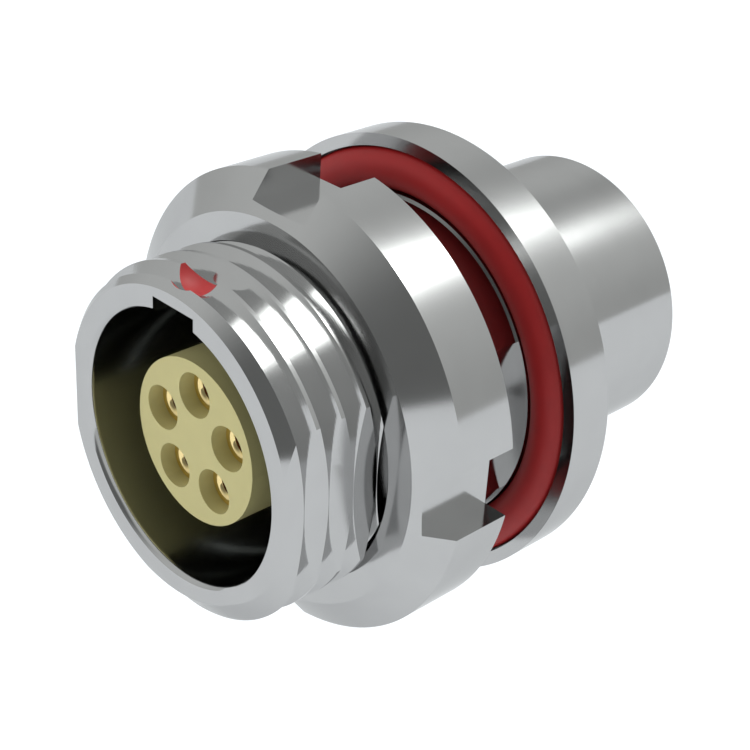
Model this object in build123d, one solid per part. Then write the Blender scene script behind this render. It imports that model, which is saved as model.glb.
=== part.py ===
# Push-pull panel receptacle with five socket contacts, its round nut and its panel seal.
#
# Millimetres. The axis is Y: the plug goes in from -Y and the wires leave at +Y. The origin is
# on the axis, in the plane where the flange meets the panel. +Z is the side of the key slot.
# The fine threads are left plain: the barrel at its crests, the nut just outside them.

import os
from math import cos, radians, sin

from build123d import *

# Barrel, M12 x 1 with two flats
THREAD_CREST_R = 5.96
FLATS_ACROSS = 10.50
BARREL_L = 9.96
BARREL_CHAMFER = 0.50

# Flange and the sleeve behind it
FLANGE_R = 8.00
FLANGE_T = 1.73
SLEEVE_R = 5.18
SLEEVE_L = 7.40

# Plug chamber, open to the front
CHAMBER_R = 4.60
CHAMBER_DEPTH = 7.76
MOUTH_CHAMFER_R = 0.14
MOUTH_CHAMFER_L = 0.28
KEY_SLOT_W = 1.96
KEY_SLOT_RISE = 0.46
KEY_SLOT_L = 5.60
LATCH_GROOVE_DEPTH = 0.26
LATCH_GROOVE_W = 0.70
LATCH_GROOVE_SET_BACK = 4.70

# Shoulder between the plug chamber and the rear bore
SHOULDER_T = 1.00
REAR_BORE_R = 4.20
REAR_BORE_CHAMFER = 0.25
LUG_W = 1.20
LUG_H = 0.90
LUG_L = 0.50

# Panel seal, a ring of round section in the flange's front groove
SEAL_OFF_BARREL = 0.84
SEAL_SECTION_R = 0.745
SEAL_SIDES = 10
SEAL_PROUD = 0.345
SEAL_CLEARANCE = 0.02

# Round nut
NUT_OVER_FLANGE = 0.05
NUT_L = 3.16
NUT_BEHIND_L = 2.98
NUT_CONE_L = 0.94
NUT_FACE_W = 0.77
NUT_THREAD_CLEARANCE = 0.06
NUT_MOUTH_CHAMFER = 0.30
NOTCH_COUNT = 4
NOTCH_W = 2.48
NOTCH_FLOOR_W = 1.056

# Guide mark, enamel in a blind hole at the top of the barrel
MARK_R = 0.85
MARK_DEPTH = 0.46
MARK_SET_BACK = 0.92

# Insulators and the ring that holds them
NOSE_R = 2.86
NOSE_SET_BACK = 0.835
NOSE_CLEARANCE = 0.04
COLLAR_L = 2.00
COLLAR_CLEARANCE = 0.04
LUG_CLEARANCE = 0.05
REAR_INSULATOR_L = 3.20
RETAINING_RING_L = 1.50
RETAINING_RING_BORE_R = 2.90
RETAINING_RING_CLEARANCE = 0.02
SPANNER_SLOT_W = 1.00
SPANNER_SLOT_DEPTH = 0.70
SPANNER_SLOT_COUNT = 2

# Square seal ring on the collar
INNER_SEAL_T = 0.70
INNER_SEAL_SET_BACK = 1.20
INNER_SEAL_SIDE_CLEARANCE = 0.05

# Earthing ring, pressed to the end of the plug chamber
EARTHING_RING_T = 0.18
EARTHING_RING_BORE_R = 3.10
EARTHING_RING_CLEARANCE = 0.01
EARTHING_FINGER_L = 1.80
EARTHING_FINGER_LEAN = 0.40
EARTHING_FINGER_COUNT = 8
EARTHING_SLIT_W = 0.35

# Contacts, on a circle, the first at the key slot
CONTACT_COUNT = 5
CONTACT_CIRCLE_R = 1.705
CONTACT_R = 0.74
CONTACT_CLEARANCE = 0.03
CONTACT_SET_BACK = 0.575
CONTACT_BORE_R = 0.40
CONTACT_MOUTH_FLARE = 0.26
CONTACT_STOP_SIDES = 6
CONTACT_STOP_ACROSS = 1.66
CONTACT_STOP_L = 0.60
CONTACT_TAIL_R = 0.70
CONTACT_TAIL_L = 7.80
CUP_MOUTH_R = 0.45
CUP_FLOOR_R = 0.38
CUP_DEPTH = 1.50
CUP_OPEN_L = 1.10
CUP_OPEN_FLOOR = 0.15

# Spring clips in the contacts, each a strip bent into flats round the pin
CLIP_SET_BACK = 1.00
CLIP_L = 3.50
CLIP_T = 0.15
CLIP_SIDES = 6
CLIP_CLEARANCE = 0.04
CLIP_POCKET_STEP = 0.26
CLIP_SLIT_W = 0.25
CLIP_END_CLEARANCE = 0.05

# Resin on the wires' side
POTTING_COVER = 1.70

# Places along the axis that several pieces share
BARREL_FRONT_Y = -BARREL_L
SHOULDER_FRONT_Y = BARREL_FRONT_Y + CHAMBER_DEPTH
SHOULDER_REAR_Y = SHOULDER_FRONT_Y + SHOULDER_T
SHELL_REAR_Y = FLANGE_T + SLEEVE_L
SEAL_MID_Y = SEAL_SECTION_R - SEAL_PROUD
SEAL_MID_R = THREAD_CREST_R + SEAL_OFF_BARREL
NUT_BORE_R = THREAD_CREST_R + NUT_THREAD_CLEARANCE
NUT_R = FLANGE_R + NUT_OVER_FLANGE
NOTCH_FLOOR_R = NUT_BORE_R + NOTCH_FLOOR_W
NOSE_FRONT_Y = BARREL_FRONT_Y + NOSE_SET_BACK
COLLAR_REAR_Y = SHOULDER_REAR_Y + COLLAR_L
RING_FRONT_Y = COLLAR_REAR_Y + REAR_INSULATOR_L
RING_REAR_Y = RING_FRONT_Y + RETAINING_RING_L
POTTING_REAR_Y = RING_REAR_Y + POTTING_COVER
CONTACT_FRONT_Y = NOSE_FRONT_Y + CONTACT_SET_BACK
CONTACT_STOP_Y = COLLAR_REAR_Y - CONTACT_STOP_L
CONTACT_REAR_Y = COLLAR_REAR_Y + CONTACT_TAIL_L
CLIP_FRONT_Y = CONTACT_FRONT_Y + CLIP_SET_BACK
CLIP_REAR_Y = CLIP_FRONT_Y + CLIP_L
COLLAR_R = REAR_BORE_R - COLLAR_CLEARANCE
CLIP_POCKET_R = CONTACT_BORE_R + CLIP_POCKET_STEP

# How far a cutting tool runs past the face that it opens
OVERRUN = 1.0


def turned(*outline):
    """Solid of revolution about the Y axis, from straight runs between (radius, y) points."""
    return revolve(make_face(Polyline(*outline, close=True)), Axis.Y)


def tube(outer_r, inner_r, front_y, rear_y):
    """Round tube about the Y axis, or a plain rod where the inner radius is 0."""
    return turned((inner_r, front_y), (outer_r, front_y), (outer_r, rear_y), (inner_r, rear_y))


def block(width, front_y, rear_y, low_z, high_z):
    """Box centred on X between two places along the axis and two heights."""
    centre = Pos(0, (front_y + rear_y) / 2, (low_z + high_z) / 2)
    return centre * Box(width, rear_y - front_y, high_z - low_z)


def around(piece, count):
    """Copies of a piece, evenly turned about the Y axis."""
    return [Rot(0, 360 * i / count, 0) * piece for i in range(count)]


def contact_angles():
    """Angle of each contact from +X towards +Z, starting at the key slot."""
    return [90 + 360 * i / CONTACT_COUNT for i in range(CONTACT_COUNT)]


def at_contact(piece, angle):
    """A piece built on the axis with its +X side outermost, set at one contact's place."""
    x = CONTACT_CIRCLE_R * cos(radians(angle))
    z = CONTACT_CIRCLE_R * sin(radians(angle))
    return Pos(x, 0, z) * Rot(0, -angle, 0) * piece


def contact_holes(radius, front_y, rear_y):
    """The five round holes that the contacts stand in."""
    return [at_contact(tube(radius, 0, front_y, rear_y), angle) for angle in contact_angles()]


def contact_stop(clearance, rear_y):
    """A contact's six-sided stop collar on the axis, or with a clearance the recess round it.

    Its flats keep the contact from turning, so that every solder cup opens outwards.
    """
    half_across = CONTACT_STOP_ACROSS / 2 + clearance
    turn = 180 / CONTACT_STOP_SIDES
    section = RegularPolygon(half_across, CONTACT_STOP_SIDES, major_radius=False, rotation=turn)
    return extrude(Pos(0, rear_y) * Rot(90, 0, 0) * section, rear_y - CONTACT_STOP_Y)


def barrel_flats(front_y, rear_y):
    """The material outside the barrel's two flats."""
    waste = Pos(FLATS_ACROSS / 2 + FLANGE_R / 2, (front_y + rear_y) / 2)
    side = waste * Box(FLANGE_R, rear_y - front_y, 2 * FLANGE_R)
    return [side, Rot(0, 180, 0) * side]


def barrel_outside():
    """The barrel as turned, before its flats, ahead of the flange."""
    return turned(
        (0, BARREL_FRONT_Y),
        (THREAD_CREST_R - BARREL_CHAMFER, BARREL_FRONT_Y),
        (THREAD_CREST_R, BARREL_FRONT_Y + BARREL_CHAMFER),
        (THREAD_CREST_R, 0),
        (0, 0),
    )


def mark_hole():
    """The blind hole in line with the key slot that holds the guide mark."""
    floor_z = THREAD_CREST_R - MARK_DEPTH
    drill = extrude(Circle(MARK_R), MARK_DEPTH + OVERRUN)
    return Pos(0, BARREL_FRONT_Y + MARK_SET_BACK, floor_z) * drill


def locating_lug(clearance):
    """Lug behind the shoulder, or with a clearance the notch round it in the collar.

    It keeps the contacts in line with the key slot.
    """
    front_y = SHOULDER_REAR_Y - clearance
    rear_y = SHOULDER_REAR_Y + LUG_L + clearance
    low_z = REAR_BORE_R - LUG_H - clearance
    return block(LUG_W + 2 * clearance, front_y, rear_y, low_z, REAR_BORE_R + OVERRUN)


def make_shell():
    """One turned and milled body, from the threaded barrel to the rear sleeve."""
    body = barrel_outside() - barrel_flats(BARREL_FRONT_Y - OVERRUN, 0)
    body += turned(
        (0, 0),
        (FLANGE_R, 0),
        (FLANGE_R, FLANGE_T),
        (SLEEVE_R, FLANGE_T),
        (SLEEVE_R, SHELL_REAR_Y),
        (0, SHELL_REAR_Y),
    )

    groove_half_w = SEAL_SECTION_R + SEAL_CLEARANCE
    groove_floor_y = SEAL_MID_Y + groove_half_w
    body -= tube(SEAL_MID_R + groove_half_w, SEAL_MID_R - groove_half_w, 0, groove_floor_y)

    latch_front_y = BARREL_FRONT_Y + LATCH_GROOVE_SET_BACK
    latch_rear_y = latch_front_y + LATCH_GROOVE_W + 2 * LATCH_GROOVE_DEPTH
    latch_r = CHAMBER_R + LATCH_GROOVE_DEPTH
    body -= turned(
        (0, BARREL_FRONT_Y),
        (CHAMBER_R + MOUTH_CHAMFER_R, BARREL_FRONT_Y),
        (CHAMBER_R, BARREL_FRONT_Y + MOUTH_CHAMFER_L),
        (CHAMBER_R, latch_front_y),
        (latch_r, latch_front_y + LATCH_GROOVE_DEPTH),
        (latch_r, latch_rear_y - LATCH_GROOVE_DEPTH),
        (CHAMBER_R, latch_rear_y),
        (CHAMBER_R, SHOULDER_FRONT_Y),
        (0, SHOULDER_FRONT_Y),
    )
    key_slot_rear_y = BARREL_FRONT_Y + KEY_SLOT_L
    key_slot_top_z = CHAMBER_R + KEY_SLOT_RISE
    body -= block(KEY_SLOT_W, BARREL_FRONT_Y - OVERRUN, key_slot_rear_y, 0, key_slot_top_z)

    body -= tube(NOSE_R + NOSE_CLEARANCE, 0, SHOULDER_FRONT_Y - OVERRUN, SHOULDER_REAR_Y + OVERRUN)
    rear_bore = turned(
        (0, SHOULDER_REAR_Y),
        (REAR_BORE_R, SHOULDER_REAR_Y),
        (REAR_BORE_R, SHELL_REAR_Y - REAR_BORE_CHAMFER),
        (REAR_BORE_R + REAR_BORE_CHAMFER, SHELL_REAR_Y),
        (0, SHELL_REAR_Y),
    )
    body -= rear_bore - locating_lug(0)
    return body - mark_hole()


def make_round_nut():
    """Round nut with a coned front and spanner notches cut right through its rim."""
    front_y = -NUT_BEHIND_L - NUT_L
    rear_y = -NUT_BEHIND_L
    nut = turned(
        (NUT_BORE_R, front_y),
        (NUT_BORE_R + NUT_FACE_W, front_y),
        (NUT_R, front_y + NUT_CONE_L),
        (NUT_R, rear_y),
        (NUT_BORE_R + NUT_MOUTH_CHAMFER, rear_y),
        (NUT_BORE_R, rear_y - NUT_MOUTH_CHAMFER),
    )
    notch = block(NOTCH_W, front_y - OVERRUN, rear_y + OVERRUN, NOTCH_FLOOR_R, NUT_R + OVERRUN)
    return nut - around(notch, NOTCH_COUNT)


def make_panel_ring():
    """Rubber ring that stands proud of the flange and seals against the panel."""
    section = Pos(SEAL_MID_R, SEAL_MID_Y) * RegularPolygon(SEAL_SECTION_R, SEAL_SIDES)
    return revolve(section, Axis.Y)


def make_guide_mark():
    """Enamel that fills the blind hole flush with the barrel's surface."""
    return mark_hole() & barrel_outside()


def make_front_insulator():
    """Nose with the pin holes, and the collar that bears on the shoulder from behind."""
    body = tube(NOSE_R, 0, NOSE_FRONT_Y, SHOULDER_REAR_Y)
    body += tube(COLLAR_R, 0, SHOULDER_REAR_Y, COLLAR_REAR_Y)
    body -= locating_lug(LUG_CLEARANCE)

    groove_y = SHOULDER_REAR_Y + INNER_SEAL_SET_BACK
    groove_half_w = INNER_SEAL_T / 2 + INNER_SEAL_SIDE_CLEARANCE
    groove_r = REAR_BORE_R - INNER_SEAL_T
    body -= tube(REAR_BORE_R + OVERRUN, groove_r, groove_y - groove_half_w, groove_y + groove_half_w)

    hole_r = CONTACT_R + CONTACT_CLEARANCE
    body -= contact_holes(hole_r, NOSE_FRONT_Y - OVERRUN, COLLAR_REAR_Y + OVERRUN)
    recess = contact_stop(CONTACT_CLEARANCE, COLLAR_REAR_Y + OVERRUN)
    return body - [at_contact(recess, angle) for angle in contact_angles()]


def make_rear_insulator():
    """Disc behind the collar that keeps the contacts from being pushed back."""
    body = tube(COLLAR_R, 0, COLLAR_REAR_Y, RING_FRONT_Y)
    tail_hole_r = CONTACT_TAIL_R + CONTACT_CLEARANCE
    return body - contact_holes(tail_hole_r, COLLAR_REAR_Y - OVERRUN, RING_FRONT_Y + OVERRUN)


def make_inner_seal():
    """Seal ring in the collar's groove, against the rear bore."""
    front_y = SHOULDER_REAR_Y + INNER_SEAL_SET_BACK - INNER_SEAL_T / 2
    return tube(REAR_BORE_R, REAR_BORE_R - INNER_SEAL_T, front_y, front_y + INNER_SEAL_T)


def make_retaining_ring():
    """Threaded ring with two spanner slots, screwed in behind the insulators."""
    outer_r = REAR_BORE_R - RETAINING_RING_CLEARANCE
    ring = tube(outer_r, RETAINING_RING_BORE_R, RING_FRONT_Y, RING_REAR_Y)
    floor_y = RING_REAR_Y - SPANNER_SLOT_DEPTH
    slot = block(SPANNER_SLOT_W, floor_y, RING_REAR_Y + OVERRUN, 0, REAR_BORE_R + OVERRUN)
    return ring - around(slot, SPANNER_SLOT_COUNT)


def make_earthing_ring():
    """Pressed washer at the end of the chamber whose fingers lean in on the plug's sleeve."""
    outer_r = CHAMBER_R - EARTHING_RING_CLEARANCE
    root_y = SHOULDER_FRONT_Y - EARTHING_RING_T
    tip_y = SHOULDER_FRONT_Y - EARTHING_FINGER_L
    tip_r = outer_r - EARTHING_FINGER_LEAN
    ring = turned(
        (EARTHING_RING_BORE_R, SHOULDER_FRONT_Y),
        (outer_r, SHOULDER_FRONT_Y),
        (outer_r, root_y),
        (tip_r, tip_y),
        (tip_r - EARTHING_RING_T, tip_y),
        (outer_r - EARTHING_RING_T, root_y),
        (EARTHING_RING_BORE_R, root_y),
    )
    slit_rear_y = root_y - EARTHING_RING_T
    slit = block(EARTHING_SLIT_W, tip_y - OVERRUN, slit_rear_y, 0, CHAMBER_R + OVERRUN)
    return ring - around(slit, EARTHING_FINGER_COUNT)


def make_contact():
    """One socket contact on the axis: flared mouth, clip pocket, stop collar, tapered solder cup."""
    contact = turned(
        (0, CLIP_REAR_Y + CLIP_END_CLEARANCE),
        (CLIP_POCKET_R, CLIP_REAR_Y + CLIP_END_CLEARANCE),
        (CLIP_POCKET_R, CLIP_FRONT_Y - CLIP_END_CLEARANCE),
        (CONTACT_BORE_R, CLIP_FRONT_Y - CLIP_END_CLEARANCE),
        (CONTACT_BORE_R, CONTACT_FRONT_Y + CONTACT_MOUTH_FLARE),
        (CONTACT_BORE_R + CONTACT_MOUTH_FLARE, CONTACT_FRONT_Y),
        (CONTACT_R, CONTACT_FRONT_Y),
        (CONTACT_R, COLLAR_REAR_Y),
        (CONTACT_TAIL_R, COLLAR_REAR_Y),
        (CONTACT_TAIL_R, CONTACT_REAR_Y),
        (CUP_MOUTH_R, CONTACT_REAR_Y),
        (CUP_FLOOR_R, CONTACT_REAR_Y - CUP_DEPTH),
        (0, CONTACT_REAR_Y - CUP_DEPTH),
    )
    contact += contact_stop(0, COLLAR_REAR_Y)
    mouth_l = CUP_OPEN_L + OVERRUN
    mouth_x = CUP_OPEN_FLOOR + CONTACT_TAIL_R / 2
    cup_mouth = Box(CONTACT_TAIL_R, mouth_l, 2 * CONTACT_TAIL_R)
    return contact - Pos(mouth_x, CONTACT_REAR_Y - CUP_OPEN_L + mouth_l / 2, 0) * cup_mouth


def make_contact_clip():
    """Strip bent round the pin in the contact's pocket, open on its outer side.

    Its corners bear on the pocket and its flats on the pin.
    """
    corner_r = CLIP_POCKET_R - CLIP_CLEARANCE
    inner_corner_r = corner_r - CLIP_T / cos(radians(180 / CLIP_SIDES))
    section = RegularPolygon(corner_r, CLIP_SIDES) - RegularPolygon(inner_corner_r, CLIP_SIDES)
    clip = extrude(Pos(0, CLIP_REAR_Y) * Rot(90, 0, 0) * section, CLIP_L)
    slit = Pos(corner_r, CLIP_FRONT_Y + CLIP_L / 2, 0) * Box(2 * corner_r, 2 * CLIP_L, CLIP_SLIT_W)
    return clip - slit


def make_potting():
    """Resin poured round the tails: it fills the retaining ring and the bore behind."""
    resin = tube(RETAINING_RING_BORE_R, 0, RING_FRONT_Y, RING_REAR_Y)
    resin += tube(REAR_BORE_R, 0, RING_REAR_Y, POTTING_REAR_Y)
    return resin - contact_holes(CONTACT_TAIL_R, RING_FRONT_Y - OVERRUN, POTTING_REAR_Y + OVERRUN)


def make_pieces():
    """Every piece in its place, by the name of its node."""
    pieces = {
        "shell": make_shell(),
        "round_nut": make_round_nut(),
        "panel_ring": make_panel_ring(),
        "guide_mark": make_guide_mark(),
        "front_insulator": make_front_insulator(),
        "rear_insulator": make_rear_insulator(),
        "inner_seal": make_inner_seal(),
        "retaining_ring": make_retaining_ring(),
        "earthing_ring": make_earthing_ring(),
        "potting": make_potting(),
    }
    contact = make_contact()
    clip = make_contact_clip()
    for number, angle in enumerate(contact_angles(), start=1):
        pieces[f"contact_{number}"] = at_contact(contact, angle)
        pieces[f"contact_clip_{number}"] = at_contact(clip, angle)
    return pieces


os.makedirs("parts", exist_ok=True)
for name, piece in make_pieces().items():
    export_step(piece, f"parts/{name}.step")
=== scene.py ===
from math import cos, hypot, pi, radians, sin, sqrt, tan

import bpy
from mathutils import Euler, Matrix


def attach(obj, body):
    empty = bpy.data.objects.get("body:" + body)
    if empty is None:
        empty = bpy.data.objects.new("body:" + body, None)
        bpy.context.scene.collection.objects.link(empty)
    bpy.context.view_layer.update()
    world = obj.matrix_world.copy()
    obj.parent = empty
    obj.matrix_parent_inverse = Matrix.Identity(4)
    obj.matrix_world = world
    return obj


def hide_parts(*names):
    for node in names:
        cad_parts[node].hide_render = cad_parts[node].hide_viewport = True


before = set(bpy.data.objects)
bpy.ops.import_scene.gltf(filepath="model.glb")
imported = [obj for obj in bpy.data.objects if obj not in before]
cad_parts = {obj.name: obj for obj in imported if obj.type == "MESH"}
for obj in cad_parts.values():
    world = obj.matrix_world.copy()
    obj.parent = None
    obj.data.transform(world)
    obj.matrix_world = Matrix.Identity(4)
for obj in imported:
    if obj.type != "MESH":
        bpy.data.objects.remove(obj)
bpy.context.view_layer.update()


# Camera. It stands in front of the plug's mouth, to the right and above, as the photograph shows
# the connector, and is tilted a little to one side.
CAMERA_PLACE = (0.03472, -0.03664, 0.02761)
CAMERA_AZIMUTH = radians(44.344)
CAMERA_ELEVATION = radians(29.384)
CAMERA_ROLL = radians(3.7)
CAMERA_LENS = 78.27
CAMERA_SENSOR = 36
CAMERA_NEAR = 0.001

camera_data = bpy.data.cameras.new("camera")
camera_data.lens = CAMERA_LENS
camera_data.sensor_width = CAMERA_SENSOR
camera_data.clip_start = CAMERA_NEAR
camera = bpy.data.objects.new("camera", camera_data)
bpy.context.scene.collection.objects.link(camera)
turn = Euler((0, 0, CAMERA_AZIMUTH)).to_matrix()
tip = Euler((pi / 2 - CAMERA_ELEVATION, 0, 0)).to_matrix()
roll = Euler((0, 0, CAMERA_ROLL)).to_matrix()
camera.matrix_world = Matrix.Translation(CAMERA_PLACE) @ (turn @ tip @ roll).to_4x4()
bpy.context.scene.camera = camera
bpy.context.scene.view_settings.view_transform = "Standard"


# Studio. Pale walls with a soft dark screen in front on the right, two dimmer patches, and two
# round soft lamps high behind the object. All of them are told apart by direction alone.
WALL_LOW = 0.62
WALL_HIGH = 0.69
WALL_RISE = (0, 25)
WALL_TINT = (0.975, 1.0, 0.985)
SCREEN_LEVEL = 0.18
SCREEN_LEFT = -0.55
SCREEN_FULL = 0.20
SCREEN_RIGHT = (40, 62)
SCREEN_TOP = (46, 70)
SCREEN_FRONT = (-0.20, 0.05)
SCREEN_LEAN = 0.55
SCREEN_LEAN_TOP = 0.45
# Each patch: azimuth and elevation, width in degrees, and how much it takes off the wall.
DIM_SPOTS = (((134.6, 10.6), 21.3, 0.12), ((-165.6, 37.2), 12.5, 0.20))
# Each lamp: azimuth and elevation, level at its edge, radius, softness in degrees, and top level.
LAMPS = (((159.3, 51.9), 35.0, 0.0, 3.3, 12.0), ((154.5, 69.6), 3.0, 16.0, 1.6, 6.0))

world = bpy.data.worlds.new("studio")
bpy.context.scene.world = world
world.use_nodes = True
world_nodes = world.node_tree.nodes
world_links = world.node_tree.links
background = world_nodes["Background"]


def world_math(operation, first, second=None):
    """One sum in the studio's light, on numbers or on other sums."""
    node = world_nodes.new("ShaderNodeMath")
    node.operation = operation
    for socket, value in zip(node.inputs, (first, second)):
        if value is None:
            continue
        if isinstance(value, (int, float)):
            socket.default_value = value
        else:
            world_links.new(value, socket)
    return node.outputs[0]


def world_step(value, low, high, at_low=0.0, at_high=1.0):
    """A soft change from one level to another as a value goes from low to high."""
    node = world_nodes.new("ShaderNodeMapRange")
    node.interpolation_type = "SMOOTHSTEP"
    world_links.new(value, node.inputs["Value"])
    node.inputs["From Min"].default_value = low
    node.inputs["From Max"].default_value = high
    node.inputs["To Min"].default_value = at_low
    node.inputs["To Max"].default_value = at_high
    return node.outputs["Result"]


def degrees_off(way):
    """Angle in degrees between where a ray looks and a way given as azimuth and elevation."""
    around, up = radians(way[0]), radians(way[1])
    node = world_nodes.new("ShaderNodeVectorMath")
    node.operation = "DOT_PRODUCT"
    world_links.new(look.outputs["Generated"], node.inputs[0])
    node.inputs[1].default_value = (sin(around) * cos(up), -cos(around) * cos(up), sin(up))
    return world_math("DEGREES", world_math("ARCCOSINE", node.outputs["Value"]))


look = world_nodes.new("ShaderNodeTexCoord")
split = world_nodes.new("ShaderNodeSeparateXYZ")
world_links.new(look.outputs["Generated"], split.inputs[0])
look_x, look_y, look_z = split.outputs
elevation = world_math("DEGREES", world_math("ARCSINE", look_z))
ahead = world_math("MULTIPLY", look_y, -1.0)
azimuth = world_math("DEGREES", world_math("ARCTAN2", look_x, ahead))

walls = world_step(elevation, *WALL_RISE, WALL_LOW, WALL_HIGH)
for way, width, depth in DIM_SPOTS:
    spread = world_math("POWER", world_math("DIVIDE", degrees_off(way), width), 2.0)
    bell = world_math("EXPONENT", world_math("MULTIPLY", spread, -1.0))
    walls = world_math("SUBTRACT", walls, world_math("MULTIPLY", bell, depth))
front = world_step(look_y, *SCREEN_FRONT, 1.0, 0.0)
below = world_math("MAXIMUM", world_math("SUBTRACT", SCREEN_LEAN_TOP, look_z), 0.0)
leaned = world_math("SUBTRACT", look_x, world_math("MULTIPLY", below, SCREEN_LEAN))
screen = world_math("MULTIPLY", world_step(leaned, SCREEN_LEFT, SCREEN_FULL), front)
screen = world_math("MULTIPLY", screen, world_step(azimuth, *SCREEN_RIGHT, 1.0, 0.0))
screen = world_math("MULTIPLY", screen, world_step(elevation, *SCREEN_TOP, 1.0, 0.0))
darker = world_math("SUBTRACT", walls, SCREEN_LEVEL)
light = world_math("SUBTRACT", walls, world_math("MULTIPLY", screen, darker))
for way, edge, radius, soft, most in LAMPS:
    outside = world_math("SUBTRACT", degrees_off(way), radius)
    fade = world_math("EXPONENT", world_math("DIVIDE", outside, -soft))
    glare = world_math("MINIMUM", world_math("MULTIPLY", fade, edge), most)
    light = world_math("ADD", light, glare)

tinted = world_nodes.new("ShaderNodeVectorMath")
tinted.operation = "SCALE"
tinted.inputs[0].default_value = WALL_TINT
world_links.new(light, tinted.inputs["Scale"])
seen = world_nodes.new("ShaderNodeLightPath")
shown = world_nodes.new("ShaderNodeMix")
shown.data_type = "RGBA"
world_links.new(seen.outputs["Is Camera Ray"], shown.inputs["Factor"])
world_links.new(tinted.outputs[0], shown.inputs["A"])
shown.inputs["B"].default_value = (1, 1, 1, 1)
world_links.new(shown.outputs["Result"], background.inputs["Color"])
background.inputs["Strength"].default_value = 1.0


# Floor. A wide white table top some millimetres below the connector, which is held by its panel
# hole and stands on nothing. It shows white and keeps a soft shadow.
FLOOR_DROP = 0.024
FLOOR_SIZE = 4.0
FLOOR_GRID = 8
FLOOR_GLOW = 0.70
FLOOR_SEEN_GLOW = 0.18
FLOOR_SHADOW = 0.20
FLOOR_TINT = (0.965, 1.0, 1.03)
FLOOR_DIFFUSE = (0.80, 0.80, 0.82, 1)

bpy.ops.object.select_all(action="DESELECT")
bpy.ops.mesh.primitive_grid_add(
    x_subdivisions=FLOOR_GRID, y_subdivisions=FLOOR_GRID, size=FLOOR_SIZE,
    location=(0, 0, -FLOOR_DROP)
)
floor = bpy.context.object
floor.name = "floor"
bpy.ops.object.transform_apply(location=True)
floor_material = bpy.data.materials.new("white_table")
floor_material.use_nodes = True
nodes = floor_material.node_tree.nodes
links = floor_material.node_tree.links
nodes.clear()
out = nodes.new("ShaderNodeOutputMaterial")
plain = nodes.new("ShaderNodeBsdfDiffuse")
plain.inputs["Color"].default_value = FLOOR_DIFFUSE
glow = nodes.new("ShaderNodeEmission")
glow.inputs["Color"].default_value = (*FLOOR_TINT, 1)
shade = nodes.new("ShaderNodeBsdfDiffuse")
shade.inputs["Color"].default_value = (FLOOR_SHADOW, FLOOR_SHADOW, FLOOR_SHADOW, 1)
bright = nodes.new("ShaderNodeAddShader")
links.new(glow.outputs[0], bright.inputs[0])
links.new(shade.outputs[0], bright.inputs[1])
path = nodes.new("ShaderNodeLightPath")
straight = nodes.new("ShaderNodeMath")
straight.operation = "MAXIMUM"
links.new(path.outputs["Is Camera Ray"], straight.inputs[0])
links.new(path.outputs["Is Glossy Ray"], straight.inputs[1])
through = nodes.new("ShaderNodeMath")
through.operation = "MAXIMUM"
links.new(straight.outputs[0], through.inputs[0])
links.new(path.outputs["Is Transmission Ray"], through.inputs[1])
choose = nodes.new("ShaderNodeMixShader")
links.new(through.outputs[0], choose.inputs["Fac"])
lift = nodes.new("ShaderNodeMath")
lift.operation = "MULTIPLY_ADD"
lift.inputs[1].default_value = FLOOR_SEEN_GLOW
lift.inputs[2].default_value = FLOOR_GLOW
links.new(path.outputs["Is Camera Ray"], lift.inputs[0])
links.new(lift.outputs[0], glow.inputs["Strength"])
links.new(plain.outputs[0], choose.inputs[1])
links.new(bright.outputs[0], choose.inputs[2])
links.new(choose.outputs[0], out.inputs["Surface"])
floor.data.materials.append(floor_material)


# Fill light. A broad soft lamp in front, left of the camera, which the plastic, the rubber and the
# paint take up and the bright metal doesn't mirror.
FILL_AZIMUTH = radians(-35)
FILL_ELEVATION = radians(25)
FILL_SPREAD = radians(40)
FILL_STRENGTH = 0.65

fill_data = bpy.data.lights.new("fill", "SUN")
fill_data.energy = FILL_STRENGTH
fill_data.angle = FILL_SPREAD
fill = bpy.data.objects.new("fill", fill_data)
fill.visible_glossy = False
bpy.context.scene.collection.objects.link(fill)
fill.rotation_euler = (pi / 2 - FILL_ELEVATION, 0, FILL_AZIMUTH)


# Shell. One turned and milled brass body, nickel and chrome plated: the threaded barrel with its
# two flats, the plug chamber, the flange with the seal's groove, and the sleeve behind.
MM = 0.001
STEPS = 180
MERGE = 0.0001
NEAR = 0.01
SMOOTH_ANGLE = radians(28)
CLEAR_FRONT = -11.0
CLEAR_R = 9.0
BARREL_FRONT = -9.96
CREST_R = 5.96
ROOT_R = 5.224
CHAMFER = 0.50
FLAT_X = 5.25
FLANGE_R = 8.00
FLANGE_REAR = 1.73
SLEEVE_R = 5.18
SLEEVE_REAR = 9.13
EDGE_BREAK = 0.15
CHAMBER_R = 4.60
CHAMBER_FLOOR = -2.20
LIP_R = 0.35
LIP_L = 0.28
LIP_STEPS = 10
LATCH_FRONT = -5.26
LATCH_W = 0.70
LATCH_DEPTH = 0.26
SHOULDER_R = 2.90
SHOULDER_REAR = -1.20
REAR_BORE_R = 4.20
REAR_CHAMFER = 0.25
GROOVE_INNER_R = 6.035
GROOVE_OUTER_R = 7.565
GROOVE_FLOOR = 1.165
KEY_SLOT_W = 1.96
KEY_SLOT_LOW = 3.0
KEY_SLOT_TOP = 5.06
KEY_SLOT_REAR = -4.36
CHAMBER_SHADE_R = 5.20
PITCH = 1.0
CREST_W = 0.15
THREAD_FIRST_Y = -10.115
THREAD_TURNS = 6
THREAD_FLANK = radians(30)
THREAD_OVERCUT = 0.3
EDGE_TINT = 0.75
CLOUD = 0.02
CLOUD_GRAIN = 700.0
CLOUD_DETAIL = 3.0
CLOUD_SPREAD = 0.20
LATHE_RINGS = 9000.0
LATHE_WAVER = 0.6
LATHE_DEPTH = 0.02
BUMP_HEIGHT = 0.00001


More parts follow.
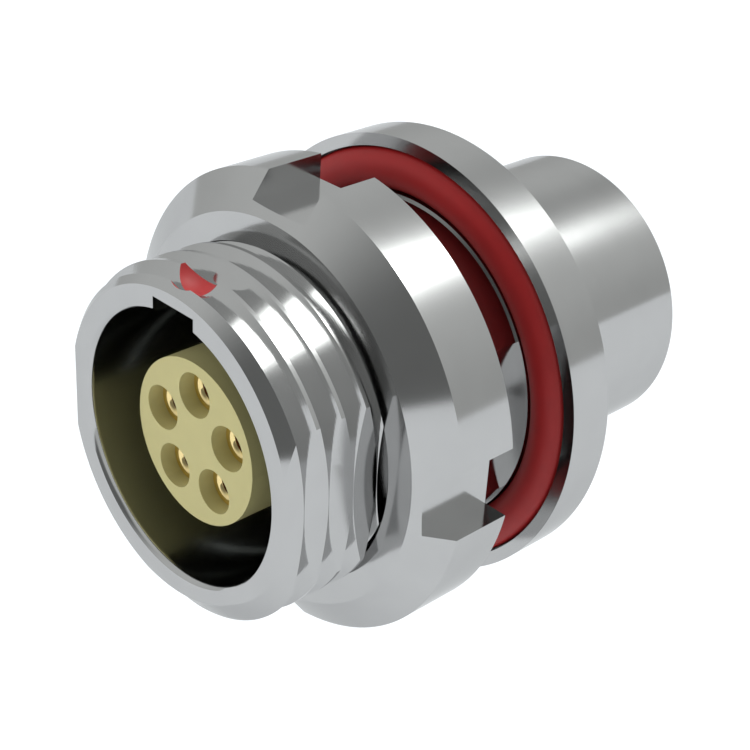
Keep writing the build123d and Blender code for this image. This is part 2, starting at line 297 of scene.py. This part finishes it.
def pick(piece):
    """Make a piece the only one that the next tool acts on."""
    bpy.ops.object.select_all(action="DESELECT")
    piece.select_set(True)
    bpy.context.view_layer.objects.active = piece


def turned(name, outline, steps=STEPS):
    """A piece turned about the Y axis, from the (radius, y) points of its outline in mm."""
    bpy.ops.object.select_all(action="DESELECT")
    bpy.ops.mesh.primitive_circle_add(vertices=len(outline), radius=1)
    piece = bpy.context.object
    piece.name = name
    for vertex, (radius, y) in zip(piece.data.vertices, outline):
        vertex.co = (radius, y, 0)
    bpy.ops.object.mode_set(mode="EDIT")
    bpy.ops.mesh.select_all(action="SELECT")
    bpy.ops.mesh.spin(steps=steps, angle=2 * pi, center=(0, 0, 0), axis=(0, 1, 0))
    bpy.ops.mesh.select_all(action="SELECT")
    bpy.ops.mesh.remove_doubles(threshold=MERGE)
    bpy.ops.mesh.normals_make_consistent(inside=False)
    bpy.ops.object.mode_set(mode="OBJECT")
    return piece


def box(low, high):
    """A block between two corners, in mm."""
    bpy.ops.object.select_all(action="DESELECT")
    middle = [(a + b) / 2 for a, b in zip(low, high)]
    bpy.ops.mesh.primitive_cube_add(size=1, location=middle)
    block = bpy.context.object
    block.scale = [b - a for a, b in zip(low, high)]
    bpy.ops.object.transform_apply(location=True, scale=True)
    return block


def cut(piece, tool, paint="INDEX", operation="DIFFERENCE"):
    """Cut a piece with a tool, or join them, and clear the tool away. TRANSFER keeps its paint."""
    pick(piece)
    boolean = piece.modifiers.new("cut", "BOOLEAN")
    boolean.operation = operation
    boolean.solver = "EXACT"
    boolean.object = tool
    boolean.material_mode = paint
    bpy.ops.object.modifier_apply(modifier=boolean.name)
    bpy.data.objects.remove(tool)


def thread_tool(outline, first_y, turns):
    """A helical tool of one pitch. Its (radius, y) section in mm starts at the +X side."""
    bpy.ops.object.select_all(action="DESELECT")
    bpy.ops.mesh.primitive_circle_add(vertices=len(outline), radius=1)
    tool = bpy.context.object
    for vertex, (radius, y) in zip(tool.data.vertices, outline):
        vertex.co = (radius, first_y + y, 0)
    screw = tool.modifiers.new("screw", "SCREW")
    screw.axis = "Y"
    screw.angle = 2 * pi
    screw.screw_offset = PITCH
    screw.iterations = turns
    screw.steps = STEPS
    screw.render_steps = STEPS
    bpy.ops.object.modifier_apply(modifier=screw.name)
    bpy.ops.object.mode_set(mode="EDIT")
    bpy.ops.mesh.select_all(action="SELECT")
    bpy.ops.mesh.fill_holes(sides=len(outline))
    bpy.ops.mesh.select_all(action="SELECT")
    bpy.ops.mesh.normals_make_consistent(inside=False)
    bpy.ops.object.mode_set(mode="OBJECT")
    return tool


def to_metres(piece):
    """Bring a piece that was made in mm to its true size, with clean shading."""
    pick(piece)
    piece.scale = (MM, MM, MM)
    bpy.ops.object.transform_apply(scale=True)
    bpy.ops.object.shade_smooth_by_angle(angle=SMOOTH_ANGLE)


def uneven(name, colour, roughness, amount, grain, detail, spread):
    """A material whose colour and gloss vary a little, with the pattern's place and its noise."""
    material = bpy.data.materials.new(name)
    material.use_nodes = True
    nodes = material.node_tree.nodes
    links = material.node_tree.links
    shader = nodes["Principled BSDF"]
    place = nodes.new("ShaderNodeTexCoord")
    noise = nodes.new("ShaderNodeTexNoise")
    noise.inputs["Scale"].default_value = grain
    noise.inputs["Detail"].default_value = detail
    links.new(place.outputs["Object"], noise.inputs["Vector"])
    tone = nodes.new("ShaderNodeMapRange")
    tone.inputs["From Min"].default_value = 0.5 - spread
    tone.inputs["From Max"].default_value = 0.5 + spread
    tone.inputs["To Min"].default_value = 1.0 - amount
    tone.inputs["To Max"].default_value = 1.0 + amount
    links.new(noise.outputs["Fac"], tone.inputs["Value"])
    shaded = nodes.new("ShaderNodeVectorMath")
    shaded.operation = "SCALE"
    shaded.inputs[0].default_value = colour
    links.new(tone.outputs["Result"], shaded.inputs["Scale"])
    links.new(shaded.outputs[0], shader.inputs["Base Color"])
    gloss = nodes.new("ShaderNodeMath")
    gloss.operation = "MULTIPLY"
    gloss.inputs[1].default_value = roughness
    links.new(tone.outputs["Result"], gloss.inputs[0])
    links.new(gloss.outputs[0], shader.inputs["Roughness"])
    return material, place.outputs["Object"], noise.outputs["Fac"]


def emboss(material, pattern, strength):
    """Raise and lower a material's skin by a pattern."""
    nodes = material.node_tree.nodes
    links = material.node_tree.links
    bump = nodes.new("ShaderNodeBump")
    bump.inputs["Strength"].default_value = strength
    bump.inputs["Distance"].default_value = BUMP_HEIGHT
    links.new(pattern, bump.inputs["Height"])
    links.new(bump.outputs["Normal"], nodes["Principled BSDF"].inputs["Normal"])


def metal(name, colour, roughness):
    """Bright metal: a faint cloudiness in its colour and gloss, and the lathe's fine rings."""
    material, place, _ = uneven(
        name, colour, roughness, CLOUD, CLOUD_GRAIN, CLOUD_DETAIL, CLOUD_SPREAD
    )
    nodes = material.node_tree.nodes
    shader = nodes["Principled BSDF"]
    shader.inputs["Metallic"].default_value = 1.0
    shader.inputs["Specular Tint"].default_value = (EDGE_TINT, EDGE_TINT, EDGE_TINT, 1)
    wave = nodes.new("ShaderNodeTexWave")
    wave.bands_direction = "Y"
    wave.inputs["Scale"].default_value = LATHE_RINGS
    wave.inputs["Distortion"].default_value = LATHE_WAVER
    material.node_tree.links.new(place, wave.inputs["Vector"])
    emboss(material, wave.outputs["Fac"], LATHE_DEPTH)
    return material


plating = metal("plating", (0.52, 0.52, 0.52), 0.12)
# The chamber's inner faces get a darker metal than the outside: painted shade for the dim inside
# of the plug chamber.
bore_painted_shade = metal("bore_painted_shade", (0.40, 0.41, 0.40), 0.16)
lip = []
for step in range(LIP_STEPS):
    y = BARREL_FRONT + LIP_L * step / LIP_STEPS
    depth = BARREL_FRONT + LIP_L - y
    lip.append((CHAMBER_R + LIP_R - sqrt(LIP_R ** 2 - depth ** 2), y))
lip.append((CHAMBER_R, BARREL_FRONT + LIP_L))
shell = turned("plated_shell", [
    (CREST_R - CHAMFER, BARREL_FRONT),
    (CREST_R, BARREL_FRONT + CHAMFER),
    (CREST_R, 0),
    (GROOVE_INNER_R, 0),
    (GROOVE_INNER_R, GROOVE_FLOOR),
    (GROOVE_OUTER_R, GROOVE_FLOOR),
    (GROOVE_OUTER_R, 0),
    (FLANGE_R, 0),
    (FLANGE_R, FLANGE_REAR),
    (SLEEVE_R, FLANGE_REAR),
    (SLEEVE_R, SLEEVE_REAR - EDGE_BREAK),
    (SLEEVE_R - EDGE_BREAK, SLEEVE_REAR),
    (REAR_BORE_R + REAR_CHAMFER, SLEEVE_REAR),
    (REAR_BORE_R, SLEEVE_REAR - REAR_CHAMFER),
    (REAR_BORE_R, SHOULDER_REAR),
    (SHOULDER_R, SHOULDER_REAR),
    (SHOULDER_R, CHAMBER_FLOOR),
    (CHAMBER_R, CHAMBER_FLOOR),
    (CHAMBER_R, LATCH_FRONT + LATCH_W + 2 * LATCH_DEPTH),
    (CHAMBER_R + LATCH_DEPTH, LATCH_FRONT + LATCH_W + LATCH_DEPTH),
    (CHAMBER_R + LATCH_DEPTH, LATCH_FRONT + LATCH_DEPTH),
    (CHAMBER_R, LATCH_FRONT),
    *reversed(lip),
])
for side in (-1, 1):
    low_x, high_x = sorted((side * FLAT_X, side * CLEAR_R))
    cut(shell, box((low_x, CLEAR_FRONT, -CLEAR_R), (high_x, 0.0, CLEAR_R)))
cut(shell, box(
    (-KEY_SLOT_W / 2, CLEAR_FRONT, KEY_SLOT_LOW), (KEY_SLOT_W / 2, KEY_SLOT_REAR, KEY_SLOT_TOP)
))
groove_top = CREST_R + THREAD_OVERCUT
groove_half = (groove_top - ROOT_R) * tan(THREAD_FLANK)
cut(shell, thread_tool(
    [(ROOT_R, 0), (groove_top, groove_half), (groove_top, -groove_half)],
    THREAD_FIRST_Y, THREAD_TURNS
))
shell.data.materials.append(plating)
shell.data.materials.append(bore_painted_shade)
# Faces inside the chamber, behind the lip, take the darker metal as painted shade.
for face in shell.data.polygons:
    inside = hypot(face.center.x, face.center.z) < CHAMBER_SHADE_R
    if inside and BARREL_FRONT + LIP_L < face.center.y < CHAMBER_FLOOR + NEAR:
        face.material_index = 1


# Guide mark. A dimple made with a ball-nosed cutter at the top of the barrel, in line with the key
# slot and through the thread's first ridge, and painted red all over.
MARK_MIDDLE = (0.0, -9.02, 6.19)
MARK_BALL_R = 0.92
MARK_BALL_STEPS = 96
MARK_BALL_RINGS = 64
SKIN_DETAIL = 4.0
SKIN_SPREAD = 0.25
SKIN_DEPTH = 0.05


def plastic(name, colour, roughness, mottle=0.06, grain=1600.0, shine=0.5):
    """Plastic, rubber or paint: a faint mottle in its colour and a fine unevenness of its skin."""
    material, _, noise = uneven(
        name, colour, roughness, mottle, grain, SKIN_DETAIL, SKIN_SPREAD
    )
    shader = material.node_tree.nodes["Principled BSDF"]
    shader.inputs["Specular IOR Level"].default_value = shine
    emboss(material, noise, SKIN_DEPTH)
    return material


bpy.ops.object.select_all(action="DESELECT")
bpy.ops.mesh.primitive_uv_sphere_add(
    segments=MARK_BALL_STEPS, ring_count=MARK_BALL_RINGS, radius=MARK_BALL_R,
    location=MARK_MIDDLE
)
mark_tool = bpy.context.object
bpy.ops.object.transform_apply(location=True)
red_enamel = plastic("red_enamel", (0.38, 0.032, 0.033), 0.5, mottle=0.03, shine=0.3)
mark_tool.data.materials.append(red_enamel)
cut(shell, mark_tool, "TRANSFER")
to_metres(shell)
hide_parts("shell", "guide_mark")
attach(shell, "body")


# Round nut. A turned brass ring, plated like the shell, with a coned front and four notches for a
# spanner. It is screwed on the barrel and clamps the panel against the flange.
NUT_R = 8.05
NUT_FRONT = -6.14
NUT_REAR = -2.98
NUT_CONE_REAR = -5.20
NUT_FACE_R = 6.79
NUT_THREAD_R = 5.50
NUT_MOUTH_R = 5.78
NUT_REAR_MOUTH_R = 6.32
NUT_THREAD_FIRST_Y = THREAD_FIRST_Y + PITCH / 2 + 2 * PITCH
NUT_THREAD_TURNS = 6
NUT_THREAD_PLAY = 0.06
NUT_THREAD_OVERCUT = 0.1
NOTCHES = 4
NOTCH_W = 2.48
NOTCH_FLOOR_R = 7.076
NOTCH_TOOL_FRONT = -7.0
NOTCH_TOOL_REAR = -2.0

nut = turned("plated_nut", [
    (NUT_MOUTH_R, NUT_FRONT),
    (NUT_FACE_R, NUT_FRONT),
    (NUT_R, NUT_CONE_REAR),
    (NUT_R, NUT_REAR),
    (NUT_REAR_MOUTH_R, NUT_REAR),
    (NUT_THREAD_R, NUT_REAR - (NUT_REAR_MOUTH_R - NUT_THREAD_R)),
    (NUT_THREAD_R, NUT_FRONT + (NUT_MOUTH_R - NUT_THREAD_R)),
])
for number in range(NOTCHES):
    notch = box(
        (-NOTCH_W / 2, NOTCH_TOOL_FRONT, NOTCH_FLOOR_R), (NOTCH_W / 2, NOTCH_TOOL_REAR, CLEAR_R)
    )
    notch.data.transform(Matrix.Rotation(2 * pi * number / NOTCHES, 4, "Y"))
    cut(nut, notch)
tool_top = CREST_R + NUT_THREAD_PLAY
tool_low = NUT_THREAD_R - NUT_THREAD_OVERCUT
top_half = (CREST_W + NUT_THREAD_PLAY) / 2
low_half = top_half + (tool_top - tool_low) * tan(THREAD_FLANK)
cut(nut, thread_tool(
    [(tool_top, -top_half), (tool_top, top_half), (tool_low, low_half), (tool_low, -low_half)],
    NUT_THREAD_FIRST_Y, NUT_THREAD_TURNS
))
nut.data.materials.append(plating)
to_metres(nut)
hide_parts("round_nut")
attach(nut, "nut")


# Panel seal. A moulded red silicone ring of round section, laid in the flange's groove. It stands
# a little proud of the flange's face, and the panel presses it down.
SEAL_MID_R = 6.80
SEAL_SECTION_R = 0.745
SEAL_MID_Y = 0.40
SEAL_STEPS = 192
SEAL_SECTION_STEPS = 48

bpy.ops.object.select_all(action="DESELECT")
bpy.ops.mesh.primitive_torus_add(
    major_segments=SEAL_STEPS, minor_segments=SEAL_SECTION_STEPS,
    major_radius=SEAL_MID_R, minor_radius=SEAL_SECTION_R,
    location=(0, SEAL_MID_Y, 0), rotation=(pi / 2, 0, 0)
)
seal = bpy.context.object
seal.name = "red_seal"
bpy.ops.object.transform_apply(location=True, rotation=True)
red_silicone = plastic("red_silicone", (0.35, 0.015, 0.016), 0.45, mottle=0.05, shine=0.3)
seal.data.materials.append(red_silicone)
to_metres(seal)
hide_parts("panel_ring")
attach(seal, "seal")


# Contacts. Five turned and gold plated sockets with rounded mouths, pushed into the insulator from
# behind. A six-sided collar stops each one, and its solder cup opens outwards.
CONTACTS = 5
CONTACT_STEPS = 64
CONTACT_CIRCLE_R = 1.705
CONTACT_R = 0.74
CONTACT_FRONT = -8.55
CONTACT_BORE_R = 0.40
CONTACT_MOUTH_R = 0.26
CONTACT_MOUTH_STEPS = 8
SHADED_GOLD_R = 0.44
POCKET_R = 0.66
POCKET_FRONT = -7.60
POCKET_REAR = -4.00
COLLAR_FRONT = 0.20
COLLAR_REAR = 0.80
COLLAR_SIDES = 6
COLLAR_ACROSS = 1.66
TAIL_R = 0.70
TAIL_REAR = 8.60
CUP_MOUTH_R = 0.45
CUP_FLOOR_R = 0.38
CUP_DEPTH = 1.50
CUP_OPEN_L = 1.10
CUP_OPEN_FLOOR = 0.15
CUP_TOOL_R = 1.0
CUP_OVERCUT = 0.1

mouth = []
for step in range(CONTACT_MOUTH_STEPS + 1):
    around = pi / 2 * step / CONTACT_MOUTH_STEPS
    mouth.append((
        CONTACT_BORE_R + CONTACT_MOUTH_R * (1 - sin(around)),
        CONTACT_FRONT + CONTACT_MOUTH_R * (1 - cos(around)),
    ))
contact = turned("gold_contact", [
    (0, POCKET_REAR),
    (POCKET_R, POCKET_REAR),
    (POCKET_R, POCKET_FRONT),
    (CONTACT_BORE_R, POCKET_FRONT),
    *reversed(mouth),
    (CONTACT_R, CONTACT_FRONT),
    (CONTACT_R, COLLAR_REAR),
    (TAIL_R, COLLAR_REAR),
    (TAIL_R, TAIL_REAR),
    (CUP_MOUTH_R, TAIL_REAR),
    (CUP_FLOOR_R, TAIL_REAR - CUP_DEPTH),
    (0, TAIL_REAR - CUP_DEPTH),
], steps=CONTACT_STEPS)
bpy.ops.object.select_all(action="DESELECT")
bpy.ops.mesh.primitive_cylinder_add(
    vertices=COLLAR_SIDES, radius=COLLAR_ACROSS / 2 / cos(pi / COLLAR_SIDES),
    depth=COLLAR_REAR - COLLAR_FRONT,
    location=(0, (COLLAR_FRONT + COLLAR_REAR) / 2, 0), rotation=(pi / 2, 0, 0)
)
collar = bpy.context.object
bpy.ops.object.transform_apply(location=True, rotation=True)
cut(contact, collar, operation="UNION")
cut(contact, box(
    (CUP_OPEN_FLOOR, TAIL_REAR - CUP_OPEN_L, -CUP_TOOL_R),
    (CUP_TOOL_R, TAIL_REAR + CUP_OVERCUT, CUP_TOOL_R)
))
contact.data.materials.append(metal("gold_plate", (0.98, 0.78, 0.37), 0.12))
# Inside the bore and the pocket the gold is drawn nearly black: painted shade for the deep, unlit
# hole.
contact.data.materials.append(metal("gold_painted_shade_in_bore", (0.14, 0.05, 0.02), 0.25))
# Faces in the inner part of the mouth and in the pocket take this painted shade.
for face in contact.data.polygons:
    off_axis = hypot(face.center.x, face.center.z)
    in_mouth = off_axis < SHADED_GOLD_R and face.center.y < POCKET_REAR
    in_pocket = POCKET_FRONT - NEAR < face.center.y < POCKET_REAR + NEAR
    if in_mouth or (in_pocket and off_axis < POCKET_R + NEAR):
        face.material_index = 1
for number in range(1, CONTACTS + 1):
    socket = contact.copy()
    socket.data = contact.data.copy()
    socket.name = f"gold_contact_{number}"
    bpy.context.scene.collection.objects.link(socket)
    around = pi / 2 + 2 * pi * (number - 1) / CONTACTS
    centre = (CONTACT_CIRCLE_R * cos(around), 0, CONTACT_CIRCLE_R * sin(around))
    place = Matrix.Translation(centre)
    socket.data.transform(place @ Matrix.Rotation(-around, 4, "Y"))
    to_metres(socket)
    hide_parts(f"contact_{number}")
    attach(socket, "body")
bpy.data.objects.remove(contact)


# Insulators and hidden pieces. Olive thermoplastic round the contacts, a black seal and black
# resin behind it, a turned steel retaining ring, and springs of pale bronze, drawn dark grey as
# painted shade.
olive = plastic("olive_plastic", (0.585, 0.53, 0.245), 0.6, mottle=0.02)
black = plastic("black_rubber", (0.02, 0.02, 0.02), 0.6)
resin = plastic("black_resin", (0.03, 0.03, 0.03), 0.35, mottle=0.15, grain=500.0)
steel = metal("turned_steel", (0.50, 0.50, 0.50), 0.22)
# The springs' metal is dark grey: painted shade, so the earthing ring and clips read as the shade
# deep inside.
bronze = metal("spring_bronze", (0.30, 0.28, 0.26), 0.25)
finishes = {
    "front_insulator": olive, "rear_insulator": olive, "inner_seal": black, "potting": resin,
    "retaining_ring": steel, "earthing_ring": bronze,
}
for number in range(1, CONTACTS + 1):
    finishes[f"contact_clip_{number}"] = bronze
for node, finish in finishes.items():
    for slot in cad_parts[node].material_slots:
        slot.material = finish
